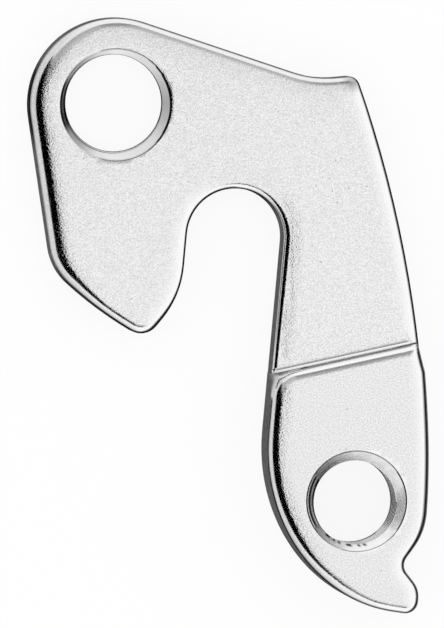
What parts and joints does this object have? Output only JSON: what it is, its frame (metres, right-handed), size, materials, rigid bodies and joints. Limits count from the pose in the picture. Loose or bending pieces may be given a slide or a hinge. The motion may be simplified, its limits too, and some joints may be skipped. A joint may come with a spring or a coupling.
{
  "type": "bicycle derailleur hanger",
  "caption": "Flat cast hanger with an axle slot, a tapered frame-bolt hole and a thicker stepped lobe with a fine thread for a rear derailleur.",
  "frame": {"origin": "axis of the derailleur thread, at the flat back face", "axes": "+Z out of the front face along the thread, +Y along the length towards the frame-bolt end, +X towards the rear edge"},
  "size_m": [0.0423, 0.0632, 0.0072],
  "materials": {
    "cast_aluminium": "bright pebbled casting with machined holes"
  },
  "bodies": {
    "root": {"hanger": "cast_aluminium"}
  },
  "joints": []
}
